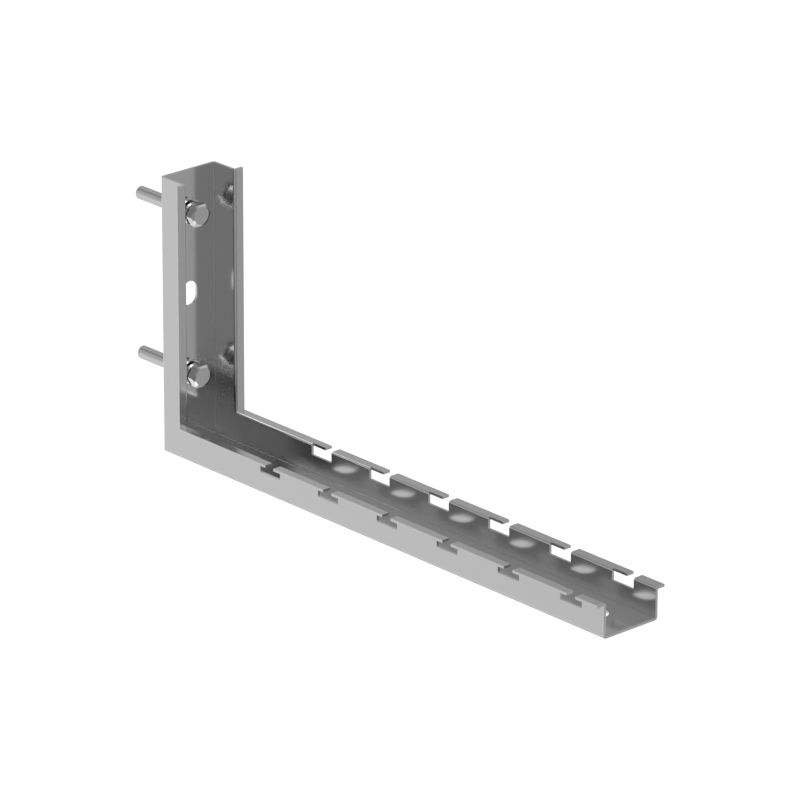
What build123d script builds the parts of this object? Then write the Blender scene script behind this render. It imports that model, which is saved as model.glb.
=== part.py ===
"""Wall bracket of folded sheet: an L with a hat section on both legs and two wall bolts."""

import os
from math import cos, pi, radians, sin

from build123d import *

os.makedirs("parts", exist_ok=True)

# Frame: the wall plane is X = 0, the underside of the arm is Z = 0, and the
# middle of the bracket's width is Y = 0. The arm points along +X.

# Sheet and section
sheet = 1.6
web_width = 41.2
lip_reach = 5.1
near_lip_height = 21.5
far_lip_height = near_lip_height - sheet
outer_bend = 2.0
inner_bend = outer_bend - sheet
lip_bend = sheet

# Legs
arm_length = 371.5
upright_height = 170.8

# Open slots in both flanges of the arm
pitch = 50.0
slot_count = 6
slot_start = 87.0
slot_width = 17.1
slot_floor = 13.0
lip_gap = 6.9

# Oblong holes in the webs, with their long side along the leg
hole_long = 15.0
hole_short = 11.0
arm_hole_short = 12.0
arm_hole_first = 94.5
wall_hole_first = 44.2
wall_hole_count = 3
wall_hole_last = wall_hole_first + (wall_hole_count - 1) * pitch

# Wall bolts and their washers
bolt_lift = 0.9
shank_diameter = 8.0
shank_length = 50.0
shank_chamfer = 0.8
neck_diameter = 7.2
neck_behind = 0.4
head_flats = 13.0
head_height = 5.3
head_face = 10.9
head_turned = 15.7
head_chamfer_height = 1.0
bearing_face = 11.6
bearing_height = 0.4
washer_diameter = 16.0
washer_bore = 8.4
washer_thickness = 1.6
washer_hang = 0.9
spring_bore = 8.3
spring_width = 3.0
spring_thickness = 2.0
spring_rise = 2.0
spring_gap = 0.8
spring_split = 87.0

half_width = web_width / 2
lip_edge = half_width + lip_reach
washer_front = sheet + washer_thickness
head_back = washer_front + spring_thickness + spring_rise
spring_radius = (spring_bore + spring_width) / 2


def hat_outline():
    """Section of either leg, drawn with the web at the bottom and the near lip on the left."""
    return [
        (-lip_edge, near_lip_height),
        (-half_width + sheet, near_lip_height),
        (-half_width + sheet, sheet),
        (half_width - sheet, sheet),
        (half_width - sheet, far_lip_height),
        (lip_edge, far_lip_height),
        (lip_edge, far_lip_height - sheet),
        (half_width, far_lip_height - sheet),
        (half_width, 0),
        (-half_width, 0),
        (-half_width, near_lip_height - sheet),
        (-lip_edge, near_lip_height - sheet),
    ]


def corners_at(sketch, points):
    """The corners of a sketch being drawn that lie at the given points of its plane."""
    return [
        v
        for v in sketch.vertices()
        if any(abs(v.X - x) < 0.01 and abs(v.Y - y) < 0.01 for x, y in points)
    ]


# The hat section with its bends
with BuildSketch() as hat:
    with BuildLine():
        Polyline(*hat_outline(), close=True)
    make_face()
    outer = [(half_width, 0), (-half_width, 0)]
    fillet(corners_at(hat, outer), radius=outer_bend)
    inner = [(-half_width + sheet, sheet), (half_width - sheet, sheet)]
    fillet(corners_at(hat, inner), radius=inner_bend)
    rolled = [
        (-half_width + sheet, near_lip_height),
        (half_width - sheet, far_lip_height),
    ]
    fillet(corners_at(hat, rolled), radius=lip_bend - 0.01)

# The fold line between the legs is the 45 degree plane through the Y axis
mitre = Plane(origin=(0, 0, 0), x_dir=(0, 1, 0), z_dir=(1, 0, -1))

with BuildPart() as arm_leg:
    with BuildSketch(Plane.YZ):
        add(hat.sketch)
    extrude(amount=arm_length)
    split(bisect_by=mitre, keep=Keep.TOP)

with BuildPart() as upright_leg:
    top = Plane(origin=(0, 0, upright_height), x_dir=(0, 1, 0), z_dir=(0, 0, -1))
    with BuildSketch(top):
        add(hat.sketch)
    extrude(amount=upright_height)
    split(bisect_by=mitre, keep=Keep.BOTTOM)

with BuildPart() as bracket:
    add(arm_leg.part)
    add(upright_leg.part)

    # Open slots: the flange is cut over the whole slot, and the lip only over its
    # tip side, so that a flat tongue of lip reaches over the wall side of each slot.
    slot_at = [(slot_start + n * pitch, 0, slot_floor) for n in range(slot_count)]
    with Locations(slot_at):
        Box(
            slot_width,
            web_width,
            near_lip_height,
            align=(Align.MIN, Align.CENTER, Align.MIN),
            mode=Mode.SUBTRACT,
        )
    gap_at = [(slot_start + slot_width + n * pitch, 0, slot_floor) for n in range(slot_count)]
    with Locations(gap_at):
        Box(
            lip_gap,
            2 * lip_edge,
            near_lip_height,
            align=(Align.MAX, Align.CENTER, Align.MIN),
            mode=Mode.SUBTRACT,
        )

    # Oblong holes in the arm's web, one under each slot
    with BuildSketch(Plane.XY):
        with Locations((arm_hole_first + (slot_count - 1) * pitch / 2, 0)):
            with GridLocations(pitch, pitch, slot_count, 1):
                SlotOverall(hole_long, arm_hole_short)
    extrude(amount=sheet, mode=Mode.SUBTRACT)

    # Oblong holes in the upright's web
    with BuildSketch(Plane.YZ):
        with Locations((0, wall_hole_first + (wall_hole_count - 1) * pitch / 2)):
            with GridLocations(pitch, pitch, 1, wall_hole_count):
                SlotOverall(hole_long, hole_short, rotation=90)
    extrude(amount=sheet, mode=Mode.SUBTRACT)

bracket.part.label = "bracket"
export_step(bracket.part, "parts/bracket.step")


def wall_bolt(height):
    """Hexagon head bolt on the axis along X at the given height, with its head outside.

    Next to the head the shank is as thin as the core of a rolled thread. That neck runs
    through the washers and the web, and ends just behind the web.
    """
    head_front = head_back + head_height
    tip = head_back - shank_length
    with BuildPart() as bolt:
        with BuildSketch(Plane.YZ.offset(head_back)):
            with Locations((0, height)):
                RegularPolygon(head_flats / 2, 6, major_radius=False, rotation=0)
        extrude(amount=head_height)
        # The corners are turned off at the front and above the bearing face
        with BuildSketch(Plane.XZ):
            with BuildLine():
                Polyline(
                    (head_back, height),
                    (head_back, height + bearing_face / 2),
                    (head_back + bearing_height, height + bearing_face / 2),
                    (head_back + bearing_height, height + head_flats),
                    (head_front - head_chamfer_height, height + head_flats),
                    (head_front - head_chamfer_height, height + head_turned / 2),
                    (head_front, height + head_face / 2),
                    (head_front, height),
                    close=True,
                )
            make_face()
        revolve(axis=Axis((0, 0, height), (1, 0, 0)), mode=Mode.INTERSECT)
        with BuildSketch(Plane.YZ.offset(tip)):
            with Locations((0, height)):
                Circle(shank_diameter / 2)
        extrude(amount=shank_length - head_back - neck_behind)
        with BuildSketch(Plane.YZ.offset(-neck_behind)):
            with Locations((0, height)):
                Circle(neck_diameter / 2)
        extrude(amount=head_back + neck_behind)
        chamfer(bolt.edges().group_by(Axis.X)[0], length=shank_chamfer)
    return bolt.part


def hung(axis_height, bore):
    """Height of a washer's middle: it hangs on the neck by most of its play."""
    return axis_height - washer_hang * (bore - neck_diameter) / 2


def flat_washer(axis_height):
    """Flat washer on the face of the upright's web."""
    height = hung(axis_height, washer_bore)
    with BuildPart() as washer:
        with BuildSketch(Plane.YZ.offset(sheet)):
            with Locations((0, height)):
                Circle(washer_diameter / 2)
                Circle(washer_bore / 2, mode=Mode.SUBTRACT)
        extrude(amount=washer_thickness)
    return washer.part


def spring_washer(axis_height):
    """Split lock washer between the flat washer and the head, not yet pressed flat.

    It is one left-hand turn of rectangular bar. The turn starts under the head beside
    the split at the top, goes round past -Y and ends on the flat washer.
    """
    turn = 1 - spring_gap / (2 * pi * spring_radius)
    with BuildPart() as coil:
        with BuildLine() as path:
            Helix(spring_rise / turn, spring_rise, spring_radius, lefthand=True)
        start = Plane(origin=path.line @ 0, x_dir=(1, 0, 0), z_dir=path.line % 0)
        with BuildSketch(start):
            Rectangle(spring_width, spring_thickness)
        sweep(is_frenet=True)
    towards_split = (0, cos(radians(spring_split)), sin(radians(spring_split)))
    place = Plane(
        origin=(head_back - spring_thickness / 2, 0, hung(axis_height, spring_bore)),
        x_dir=towards_split,
        z_dir=(-1, 0, 0),
    )
    with BuildPart() as ring:
        with Locations(place):
            add(coil.part)
    return ring.part


for place, hole_height in (("upper", wall_hole_last), ("lower", wall_hole_first)):
    axis_height = hole_height + bolt_lift
    bolt_piece = wall_bolt(axis_height)
    bolt_piece.label = f"bolt_{place}"
    export_step(bolt_piece, f"parts/bolt_{place}.step")
    washer_piece = flat_washer(axis_height)
    washer_piece.label = f"washer_{place}"
    export_step(washer_piece, f"parts/washer_{place}.step")
    spring_piece = spring_washer(axis_height)
    spring_piece.label = f"spring_washer_{place}"
    export_step(spring_piece, f"parts/spring_washer_{place}.step")
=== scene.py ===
"""Looks of the wall bracket: a folded steel L held by two wall bolts."""

import math

import bmesh
import bpy
from mathutils import Matrix, Vector

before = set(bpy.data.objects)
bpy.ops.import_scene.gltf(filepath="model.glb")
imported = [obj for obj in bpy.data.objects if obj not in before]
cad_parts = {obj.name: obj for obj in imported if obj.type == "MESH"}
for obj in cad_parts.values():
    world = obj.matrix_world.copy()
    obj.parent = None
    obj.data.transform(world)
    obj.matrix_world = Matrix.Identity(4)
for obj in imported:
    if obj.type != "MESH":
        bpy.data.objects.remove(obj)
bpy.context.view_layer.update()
scene = bpy.context.scene


# ---------------------------------------------------------------- values
# Lengths are in metres, and angles in degrees, unless a line says otherwise.

# The photograph's camera. Focal length and shift are in pixels of the photograph.
CAMERA_AZIMUTH = 48.1717
CAMERA_ELEVATION = 21.3819
CAMERA_PLACE = (2.593150, -2.202271, 1.358350)
PHOTO_WIDTH = 800
FOCAL_LENGTH = 6213.3375
SIDE_SHIFT = 60.4057
SENSOR_WIDTH_MM = 36.0
NEAREST_SEEN = 0.05
FARTHEST_SEEN = 60.0

# The studio that the steel shows. Each panel is a soft patch of light, given by
# where its middle lies as seen from the bracket. Azimuth 0 is +X and 90 is +Y.
PANELS = [
    # azimuth, elevation, full within, gone beyond (both from the middle), brightness
    (4.4, 47.7, 4.1, 16.9, 2.93),
    (-4.8, 63.7, 3.6, 41.9, 1.16),
    (-74.1, 51.0, 9.8, 29.8, 0.95),
    (-164.6, -24.6, 10.9, 41.8, 0.80),
    (18.5, -64.5, 18.1, 52.4, 0.76),
    (-139.6, 8.9, 3.8, 31.0, 0.57),
    (65.0, 12.4, 20.1, 57.0, 0.56),
    (141.1, -18.4, 32.4, 52.4, 0.39),
    (152.9, 33.8, 9.0, 24.1, 0.38),
    (-169.1, 38.3, 4.9, 32.8, 0.34),
    (-45.5, -1.9, 14.2, 76.5, 0.32),
    (-112.4, -35.0, 12.4, 39.5, 0.27),
    (34.0, 7.7, 7.5, 29.3, 0.24),
    (-34.6, 11.5, 13.2, 49.2, 0.12),
]
BASE = 0.061

# The soft lamp that lights the floor: a disk, with its power in watts
LAMP_PLACE = (-1.1, 1.3, 2.6)
LAMP_WIDTH = 2.4
LAMP_POWER = 78.0

# The floor lies well below the bracket and reaches this far from its middle.
# The camera sees it partly as plain white, and partly as paint in the lamp's light.
FLOOR_LEVEL = -0.6
FLOOR_REACH = 12.0
FLOOR_GREY = 0.95
FLOOR_WHITE_SHARE = 0.6

# Greys of the sheet, as shares of the light that it gives back
SHEET_DARK = 0.565
SHEET_LIGHT = 0.600
SHEET_LINE = 0.570
SHEET_RUB = 0.640
# The last grey is painted shade, put into the inner folds of the sheet
SHEET_FOLD_SHADE = 0.300

# How much each pattern shows in the colour
LINE_SHARE = 0.30
RUB_SHARE = 0.7
RING_SHARE = 0.35

# Roughness: the sheet's own, what clouds and flecks add or take, and what rub marks and the
# painted fold shade add
SHEET_ROUGHNESS = 0.145
CLOUD_ROUGHNESS = 0.02
SHEET_FLECK_ROUGHNESS = 0.002
TURNED_FLECK_ROUGHNESS = 0.005
RUB_ROUGHNESS = 0.10
FOLD_ROUGHNESS = 0.30

# Relief of the zinc's clouds: its strength and its depth
RELIEF = 0.15
RELIEF_DEPTH = 0.00001

# Scales of the patterns, in features per metre
SHEET_LINES = 1500.0
SHEET_CLOUDS = 32.0
SHEET_FLECKS = 380.0
TURNED_CLOUDS = 140.0
TURNED_FLECKS = 900.0
RUB_PATCHES = 160.0

# How much the rolling lines and the turned rings change along their own length
LINE_DRIFT = 0.012
RING_DRIFT = 0.5

# Where rub marks begin and where they are full: sideways from the middle, along the
# arm and up the upright. The last pair is the noise between which they break up.
LIP_RUB = (0.0246, 0.0257)
TIP_RUB = (0.3695, 0.3715)
TOP_RUB = (0.1690, 0.1708)
RUB_BREAKS = (0.42, 0.62)

# The painted shade on the inner folds, first sideways from the middle and then inwards
# from the web's outer face. Each pair says where it begins and where it is full.
FOLD_INSIDE = (0.0183, 0.0186)
FOLD_OUTSIDE = (0.0192, 0.01905)
FOLD_BELOW = (0.0010, 0.0014)
FOLD_ABOVE = (0.0024, 0.00205)

# How strong that painted shade is by the corner and elsewhere, and the distances along
# the arm at which it reaches the second and the first
FOLD_SHADE_AT_CORNER = 0.62
FOLD_SHADE_ELSEWHERE = 0.08
FOLD_FADE = (0.155, 0.060)

# The bolts' axes: height of the lower one, and the step to the upper one
BOLT_HEIGHT = 0.0451
BOLT_SPACING = 0.1

# Turned and pressed pieces: dark grey, light grey, roughness, rings per metre
TURNED_PIECES = {
    "bolt": (0.560, 0.605, 0.12, 2400.0),
    "spring": (0.560, 0.605, 0.15, 1800.0),
    "washer": (0.560, 0.600, 0.14, 1800.0),
}

# Sockets of a colour Mix node, whose names are shared by several kinds of data
MIX_SHARE, MIX_FIRST, MIX_SECOND, MIX_RESULT = 0, 6, 7, 2


# ---------------------------------------------------------------- node helpers
def add_node(tree, kind, x, y, **settings):
    """A node of the given kind at a place in its tree, with its settings."""
    node = tree.nodes.new(kind)
    node.location = (x, y)
    for name, value in settings.items():
        setattr(node, name, value)
    return node


def set_inputs(node, **values):
    """Sets unlinked inputs by their names, with _ for a blank."""
    for name, value in values.items():
        node.inputs[name.replace("_", " ")].default_value = value


def feed(tree, socket, value):
    """Gives a socket its value, which is another node's output or a plain number."""
    if isinstance(value, (int, float)):
        socket.default_value = value
    else:
        tree.links.new(value, socket)


def math_node(tree, operation, x, y, *values):
    """A Math node on outputs or plain numbers. Gives its result."""
    node = add_node(tree, "ShaderNodeMath", x, y, operation=operation)
    for socket, value in zip(node.inputs, values):
        feed(tree, socket, value)
    return node.outputs["Value"]


def ramp(tree, x, y, value, limits):
    """A share that rises from 0 to 1 between two limits."""
    node = add_node(tree, "ShaderNodeMapRange", x, y)
    set_inputs(node, From_Min=limits[0], From_Max=limits[1])
    tree.links.new(value, node.inputs["Value"])
    return node.outputs["Result"]


def scaled(tree, x, y, value, low, high):
    """A pattern from 0 to 1 brought to lie between two numbers."""
    node = add_node(tree, "ShaderNodeMapRange", x, y)
    set_inputs(node, To_Min=low, To_Max=high)
    tree.links.new(value, node.inputs["Value"])
    return node.outputs["Result"]


def noise(tree, x, y, vector, scale, detail, roughness):
    """A noise pattern from 0 to 1 on the given coordinates."""
    node = add_node(tree, "ShaderNodeTexNoise", x, y)
    tree.links.new(vector, node.inputs["Vector"])
    feed(tree, node.inputs["Scale"], scale)
    set_inputs(node, Detail=detail, Roughness=roughness)
    return node.outputs["Fac"]


def blend_colours(tree, x, y, share, first, second):
    """A colour between two, by a share. Each is an output or a plain grey."""
    node = add_node(tree, "ShaderNodeMix", x, y, data_type="RGBA")
    tree.links.new(share, node.inputs[MIX_SHARE])
    for socket, value in ((node.inputs[MIX_FIRST], first), (node.inputs[MIX_SECOND], second)):
        if isinstance(value, float):
            socket.default_value = (value, value, value, 1.0)
        else:
            tree.links.new(value, socket)
    return node.outputs[MIX_RESULT]


# ---------------------------------------------------------------- camera
def make_camera():
    """The photograph's camera.

    It stands beyond the arm's tip, on its near side, and looks down at the inside of
    the corner. The lens is long, so the legs hardly converge.
    """
    azimuth = math.radians(CAMERA_AZIMUTH)
    elevation = math.radians(CAMERA_ELEVATION)
    right = Vector((math.cos(azimuth), math.sin(azimuth), 0.0))
    back = Vector((
        math.sin(azimuth) * math.cos(elevation),
        -math.cos(azimuth) * math.cos(elevation),
        math.sin(elevation),
    ))
    up = back.cross(right)
    lens = bpy.data.cameras.new("photo_camera")
    lens.sensor_width = SENSOR_WIDTH_MM
    lens.lens = FOCAL_LENGTH / PHOTO_WIDTH * SENSOR_WIDTH_MM
    lens.shift_x = SIDE_SHIFT / PHOTO_WIDTH
    lens.clip_start = NEAREST_SEEN
    lens.clip_end = FARTHEST_SEEN
    camera = bpy.data.objects.new("photo_camera", lens)
    scene.collection.objects.link(camera)
    turn = Matrix(((right.x, up.x, back.x), (right.y, up.y, back.y), (right.z, up.z, back.z)))
    camera.matrix_world = Matrix.Translation(CAMERA_PLACE) @ turn.to_4x4()
    return camera


# ---------------------------------------------------------------- studio
def direction(azimuth, elevation):
    """Unit vector towards a point seen from the bracket."""
    a, e = math.radians(azimuth), math.radians(elevation)
    return Vector((math.cos(a) * math.cos(e), math.sin(a) * math.cos(e), math.sin(e)))


def make_studio():
    """What polished steel sees around it. The camera sees plain white in its place."""
    world = bpy.data.worlds.new("studio")
    world.use_nodes = True
    tree = world.node_tree
    tree.nodes.clear()
    coordinates = add_node(tree, "ShaderNodeTexCoord", -1400, 0)
    level = BASE
    for index, (azimuth, elevation, full, gone, brightness) in enumerate(PANELS):
        y = -260 * index
        facing = add_node(tree, "ShaderNodeVectorMath", -1100, y, operation="DOT_PRODUCT")
        facing.inputs[1].default_value = direction(azimuth, elevation)
        tree.links.new(coordinates.outputs["Generated"], facing.inputs[0])
        panel = add_node(
            tree, "ShaderNodeMapRange", -850, y, interpolation_type="SMOOTHSTEP"
        )
        set_inputs(
            panel,
            From_Min=math.cos(math.radians(gone)),
            From_Max=math.cos(math.radians(full)),
            To_Max=brightness,
        )
        tree.links.new(facing.outputs["Value"], panel.inputs["Value"])
        level = math_node(tree, "ADD", -550 + 100 * index, y, level, panel.outputs["Result"])

    studio = add_node(tree, "ShaderNodeBackground", 1100, -100)
    set_inputs(studio, Color=(1, 1, 1, 1))
    tree.links.new(level, studio.inputs["Strength"])
    plain = add_node(tree, "ShaderNodeBackground", 1100, 100)
    set_inputs(plain, Color=(1, 1, 1, 1), Strength=1.0)
    path = add_node(tree, "ShaderNodeLightPath", 900, 300)
    choose = add_node(tree, "ShaderNodeMixShader", 1300, 0)
    tree.links.new(path.outputs["Is Camera Ray"], choose.inputs["Fac"])
    tree.links.new(studio.outputs["Background"], choose.inputs[1])
    tree.links.new(plain.outputs["Background"], choose.inputs[2])
    output = add_node(tree, "ShaderNodeOutputWorld", 1500, 0)
    tree.links.new(choose.outputs["Shader"], output.inputs["Surface"])
    return world


# ---------------------------------------------------------------- soft lamp and floor
def make_soft_lamp():
    """One soft lamp over the floor. The steel doesn't show it."""
    light = bpy.data.lights.new("soft_lamp", "AREA")
    light.shape = "DISK"
    light.size = LAMP_WIDTH
    light.energy = LAMP_POWER
    lamp = bpy.data.objects.new("soft_lamp", light)
    lamp.location = LAMP_PLACE
    lamp.visible_glossy = False
    scene.collection.objects.link(lamp)


def make_floor_paint():
    """Pale matt paint, which the camera sees partly as plain white."""
    paint = bpy.data.materials.new("pale_floor_paint")
    paint.use_nodes = True
    tree = paint.node_tree
    tree.nodes.clear()
    matt = add_node(tree, "ShaderNodeBsdfDiffuse", 0, 100)
    set_inputs(matt, Color=(FLOOR_GREY, FLOOR_GREY, FLOOR_GREY, 1))
    white = add_node(tree, "ShaderNodeEmission", 0, -100)
    set_inputs(white, Color=(1, 1, 1, 1), Strength=1.0)
    path = add_node(tree, "ShaderNodeLightPath", -400, 300)
    share = math_node(
        tree, "MULTIPLY", -150, 300, path.outputs["Is Camera Ray"], FLOOR_WHITE_SHARE
    )
    blend = add_node(tree, "ShaderNodeMixShader", 250, 0)
    tree.links.new(share, blend.inputs["Fac"])
    tree.links.new(matt.outputs["BSDF"], blend.inputs[1])
    tree.links.new(white.outputs["Emission"], blend.inputs[2])
    out = add_node(tree, "ShaderNodeOutputMaterial", 500, 0)
    tree.links.new(blend.outputs["Shader"], out.inputs["Surface"])
    return paint


def make_floor():
    """A plain floor that shows the bracket's shadow.

    The steel doesn't show it, and it keeps no studio light from the bracket's underside.
    """
    mesh = bpy.data.meshes.new("pale_floor")
    grid = bmesh.new()
    bmesh.ops.create_grid(grid, x_segments=1, y_segments=1, size=FLOOR_REACH)
    bmesh.ops.translate(grid, verts=grid.verts, vec=(0.0, 0.0, FLOOR_LEVEL))
    grid.to_mesh(mesh)
    grid.free()
    mesh.materials.append(make_floor_paint())
    floor = bpy.data.objects.new("pale_floor", mesh)
    floor.visible_glossy = False
    floor.visible_shadow = False
    scene.collection.objects.link(floor)
    return floor


# ---------------------------------------------------------------- patterns of the steel
def new_group(name, inputs, outputs):
    """A shader node group with the given sockets, and its two ends."""
    tree = bpy.data.node_groups.new(name, "ShaderNodeTree")
    for label, kind, value in inputs:
        socket = tree.interface.new_socket(label, in_out="INPUT", socket_type=kind)
        if value is not None:
            socket.default_value = value
    for label in outputs:
        tree.interface.new_socket(label, in_out="OUTPUT", socket_type="NodeSocketFloat")
    start = add_node(tree, "NodeGroupInput", -1400, 0)
    end = add_node(tree, "NodeGroupOutput", 1000, 0)
    return tree, start, end


def split_position(tree, start):
    """The three parts of a group's position: along X, along Y and height."""
    parts = add_node(tree, "ShaderNodeSeparateXYZ", -1200, 0)
    tree.links.new(start.outputs["Position"], parts.inputs["Vector"])
    return parts.outputs


def make_rolled_grain():
    """Fine rolling lines that run along each leg of the bracket.

    They turn at the fold between the legs, where X equals Z.
    """
    tree, start, end = new_group(
        "rolled_grain",
        [
            ("Position", "NodeSocketVector", None),
            ("Lines per metre", "NodeSocketFloat", SHEET_LINES),
        ],
        ["Grain"],
    )
    x, y, z = split_position(tree, start)
    on_arm = math_node(tree, "GREATER_THAN", -1000, 200, x, z)
    along = math_node(tree, "MAXIMUM", -1000, 0, x, z)
    across = math_node(tree, "MINIMUM", -1000, -200, x, z)
    slow = math_node(tree, "MULTIPLY", -800, 0, along, LINE_DRIFT)
    shifted = math_node(tree, "ADD", -600, 100, slow, on_arm)
    place = add_node(tree, "ShaderNodeCombineXYZ", -400, 0)
    for value, socket in zip((shifted, y, across), place.inputs):
        tree.links.new(value, socket)
    scale = start.outputs["Lines per metre"]
    lines = noise(tree, -150, 0, place.outputs["Vector"], scale, detail=3.0, roughness=0.6)
    tree.links.new(lines, end.inputs["Grain"])
    return tree


def make_zinc_clouds():
    """Soft clouds and small flecks of a zinc coating."""
    tree, start, end = new_group(
        "zinc_clouds",
        [
            ("Position", "NodeSocketVector", None),
            ("Cloud scale", "NodeSocketFloat", SHEET_CLOUDS),
            ("Fleck scale", "NodeSocketFloat", SHEET_FLECKS),
        ],
        ["Clouds", "Flecks"],
    )
    position = start.outputs["Position"]
    scale = start.outputs["Cloud scale"]
    clouds = noise(tree, -400, 150, position, scale, detail=4.0, roughness=0.55)
    flecks = add_node(tree, "ShaderNodeTexVoronoi", -400, -150)
    tree.links.new(position, flecks.inputs["Vector"])
    tree.links.new(start.outputs["Fleck scale"], flecks.inputs["Scale"])
    tone = add_node(tree, "ShaderNodeSeparateColor", -150, -150)
    tree.links.new(flecks.outputs["Color"], tone.inputs["Color"])
    tree.links.new(clouds, end.inputs["Clouds"])
    tree.links.new(tone.outputs["Red"], end.inputs["Flecks"])
    return tree


def make_handling_wear():
    """Rub marks on the lips' outer edges, the arm's tip and the upright's top."""
    tree, start, end = new_group(
        "handling_wear", [("Position", "NodeSocketVector", None)], ["Wear"]
    )
    x, y, z = split_position(tree, start)
    side = math_node(tree, "ABSOLUTE", -1000, 0, y)
    lips = ramp(tree, -750, 250, side, LIP_RUB)
    tip = ramp(tree, -750, 0, x, TIP_RUB)
    top = ramp(tree, -750, -250, z, TOP_RUB)
    ends = math_node(tree, "MAXIMUM", -500, 0, lips, tip)
    edge = math_node(tree, "MAXIMUM", -300, 0, ends, top)
    position = start.outputs["Position"]
    patchy = noise(tree, -500, -400, position, RUB_PATCHES, detail=4.0, roughness=0.65)
    rubbed = ramp(tree, -250, -400, patchy, RUB_BREAKS)
    tree.links.new(math_node(tree, "MULTIPLY", 0, 0, edge, rubbed), end.inputs["Wear"])
    return tree


def make_painted_fold_shade():
    """Painted shade that darkens the thin inner folds between the web and the flanges of both
    legs.

    The painted shade is strongest on the arm next to the corner.
    """
    tree, start, end = new_group(
        "painted_fold_shade", [("Position", "NodeSocketVector", None)], ["Fold"]
    )
    x, y, z = split_position(tree, start)
    side = math_node(tree, "ABSOLUTE", -1000, 150, y)
    height = math_node(tree, "MINIMUM", -1000, -150, x, z)
    inside = ramp(tree, -700, 300, side, FOLD_INSIDE)
    outside = ramp(tree, -700, 100, side, FOLD_OUTSIDE)
    below = ramp(tree, -700, -100, height, FOLD_BELOW)
    above = ramp(tree, -700, -300, height, FOLD_ABOVE)
    across = math_node(tree, "MULTIPLY", -400, 100, inside, outside)
    through = math_node(tree, "MULTIPLY", -400, -100, below, above)
    line = math_node(tree, "MULTIPLY", -200, 0, across, through)
    near_corner = ramp(tree, -400, -400, x, FOLD_FADE)
    on_arm = math_node(tree, "GREATER_THAN", -400, -600, x, z)
    by_corner = math_node(tree, "MULTIPLY", -200, -400, near_corner, on_arm)
    added = FOLD_SHADE_AT_CORNER - FOLD_SHADE_ELSEWHERE
    depth = math_node(tree, "MULTIPLY_ADD", 0, -400, by_corner, added, FOLD_SHADE_ELSEWHERE)
    tree.links.new(math_node(tree, "MULTIPLY", 200, 0, line, depth), end.inputs["Fold"])
    return tree


def make_turned_rings():
    """Faint rings about a bolt's axis, as the lathe and the press leave them.

    The two axes lie one above the other, so one pattern repeated in height serves both.
    """
    tree, start, end = new_group(
        "turned_rings",
        [
            ("Position", "NodeSocketVector", None),
            ("Rings per metre", "NodeSocketFloat", TURNED_PIECES["bolt"][-1]),
        ],
        ["Rings"],
    )
    x, y, z = split_position(tree, start)
    height = math_node(tree, "SUBTRACT", -1000, -100, z, BOLT_HEIGHT)
    half = BOLT_SPACING / 2
    near = math_node(tree, "WRAP", -800, -100, height, -half, half)
    flat = add_node(tree, "ShaderNodeCombineXYZ", -600, 0)
    tree.links.new(y, flat.inputs["X"])
    tree.links.new(near, flat.inputs["Y"])
    radius = add_node(tree, "ShaderNodeVectorMath", -400, 0, operation="LENGTH")
    tree.links.new(flat.outputs["Vector"], radius.inputs[0])
    line = add_node(tree, "ShaderNodeCombineXYZ", -200, 0)
    tree.links.new(radius.outputs["Value"], line.inputs["X"])
    slow = math_node(tree, "MULTIPLY", -400, -200, x, RING_DRIFT)
    tree.links.new(slow, line.inputs["Y"])
    scale = start.outputs["Rings per metre"]
    rings = noise(tree, 0, 0, line.outputs["Vector"], scale, detail=2.0, roughness=0.5)
    tree.links.new(rings, end.inputs["Rings"])
    return tree


rolled_grain = make_rolled_grain()
zinc_clouds = make_zinc_clouds()
handling_wear = make_handling_wear()
painted_fold_shade = make_painted_fold_shade()
turned_rings = make_turned_rings()


# ---------------------------------------------------------------- steel finishes
def place_group(tree, group, y, position, **values):
    """Places a shared group in a material and feeds it the position."""
    node = add_node(tree, "ShaderNodeGroup", -1300, y, node_tree=group)
    tree.links.new(position, node.inputs["Position"])
    set_inputs(node, **values)
    return node


def steel_start(name):
    """An empty metal material: its tree, its shader and the position on the piece."""
    material = bpy.data.materials.new(name)
    material.use_nodes = True
    tree = material.node_tree
    tree.nodes.clear()
    out = add_node(tree, "ShaderNodeOutputMaterial", 900, 0)
    surface = add_node(tree, "ShaderNodeBsdfPrincipled", 600, 0)
    set_inputs(surface, Metallic=1.0)
    tree.links.new(surface.outputs["BSDF"], out.inputs["Surface"])
    coordinates = add_node(tree, "ShaderNodeTexCoord", -1600, 0)
    return material, tree, surface, coordinates.outputs["Object"]


def zinc_roughness(tree, zinc, middle, fleck_part):
    """Roughness that wanders with the zinc's clouds and flecks about its middle."""
    low, high = middle - CLOUD_ROUGHNESS, middle + CLOUD_ROUGHNESS
    clouded = scaled(tree, -900, 0, zinc.outputs["Clouds"], low, high)
    flecks = scaled(tree, -900, -150, zinc.outputs["Flecks"], -fleck_part, fleck_part)
    return math_node(tree, "ADD", -600, 0, clouded, flecks)


def add_relief(tree, zinc, surface):
    """The very low relief of the zinc's clouds."""
    relief = add_node(tree, "ShaderNodeBump", 300, -300)
    set_inputs(relief, Strength=RELIEF, Distance=RELIEF_DEPTH)
    tree.links.new(zinc.outputs["Clouds"], relief.inputs["Height"])
    tree.links.new(relief.outputs["Normal"], surface.inputs["Normal"])


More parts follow.
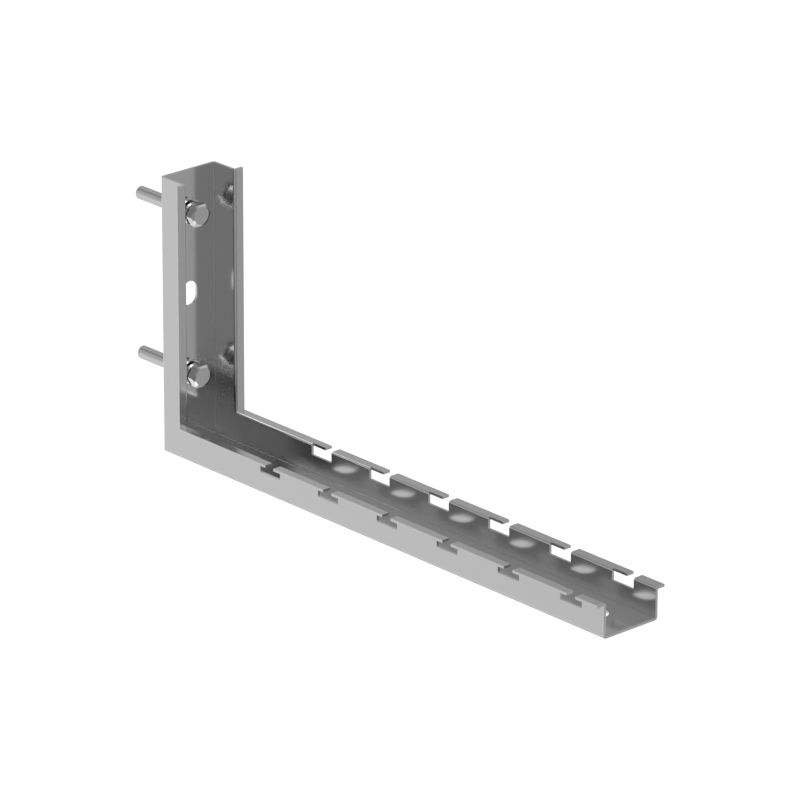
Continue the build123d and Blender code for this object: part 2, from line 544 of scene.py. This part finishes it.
def sheet_steel():
    """Zinc-coated sheet with rolling lines along each leg, and painted shade in its inner
    folds.
    """
    material, tree, surface, position = steel_start("sheet_steel")
    grain = place_group(tree, rolled_grain, 300, position, Lines_per_metre=SHEET_LINES)
    zinc = place_group(
        tree, zinc_clouds, 0, position, Cloud_scale=SHEET_CLOUDS, Fleck_scale=SHEET_FLECKS
    )
    wear = place_group(tree, handling_wear, -300, position)
    fold = place_group(tree, painted_fold_shade, -500, position).outputs["Fold"]

    clouds = blend_colours(tree, -900, 200, zinc.outputs["Clouds"], SHEET_DARK, SHEET_LIGHT)
    lines = scaled(tree, -900, 450, grain.outputs["Grain"], 0.0, LINE_SHARE)
    lined = blend_colours(tree, -600, 300, lines, clouds, SHEET_LINE)
    rubbed = scaled(tree, -900, -300, wear.outputs["Wear"], 0.0, RUB_SHARE)
    bright = blend_colours(tree, -300, 300, rubbed, lined, SHEET_RUB)
    # Painted shade: the inner folds are darkened towards the fold grey, most on the arm by
    # the corner
    colour = blend_colours(tree, 0, 300, fold, bright, SHEET_FOLD_SHADE)
    tree.links.new(colour, surface.inputs["Base Color"])

    plain = zinc_roughness(tree, zinc, SHEET_ROUGHNESS, SHEET_FLECK_ROUGHNESS)
    worn = math_node(tree, "MULTIPLY_ADD", -300, 0, rubbed, RUB_ROUGHNESS, plain)
    folded = math_node(tree, "MULTIPLY_ADD", 0, 0, fold, FOLD_ROUGHNESS, worn)
    tree.links.new(folded, surface.inputs["Roughness"])
    add_relief(tree, zinc, surface)
    return material


def turned_steel(name, dark, light, roughness, rings_per_metre):
    """Plated steel of the bolts and washers, with faint rings about the axis."""
    material, tree, surface, position = steel_start(name)
    rings = place_group(tree, turned_rings, 300, position, Rings_per_metre=rings_per_metre)
    zinc = place_group(
        tree, zinc_clouds, 0, position, Cloud_scale=TURNED_CLOUDS, Fleck_scale=TURNED_FLECKS
    )

    clouds = blend_colours(tree, -900, 200, zinc.outputs["Clouds"], dark, light)
    lines = scaled(tree, -900, 450, rings.outputs["Rings"], 0.0, RING_SHARE)
    colour = blend_colours(tree, -600, 300, lines, clouds, dark)
    tree.links.new(colour, surface.inputs["Base Color"])

    plain = zinc_roughness(tree, zinc, roughness, TURNED_FLECK_ROUGHNESS)
    tree.links.new(plain, surface.inputs["Roughness"])
    add_relief(tree, zinc, surface)
    return material


# ---------------------------------------------------------------- the scene
scene.camera = make_camera()
scene.world = make_studio()
make_soft_lamp()
pale_floor = make_floor()

finishes = {"bracket": sheet_steel()}
for piece_kind, values in TURNED_PIECES.items():
    finishes[piece_kind] = turned_steel(f"{piece_kind}_steel", *values)
for node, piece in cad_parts.items():
    finish = finishes[node.split("_")[0]]
    piece.data.materials.clear()
    piece.data.materials.append(finish)

scene.view_settings.view_transform = "Standard"
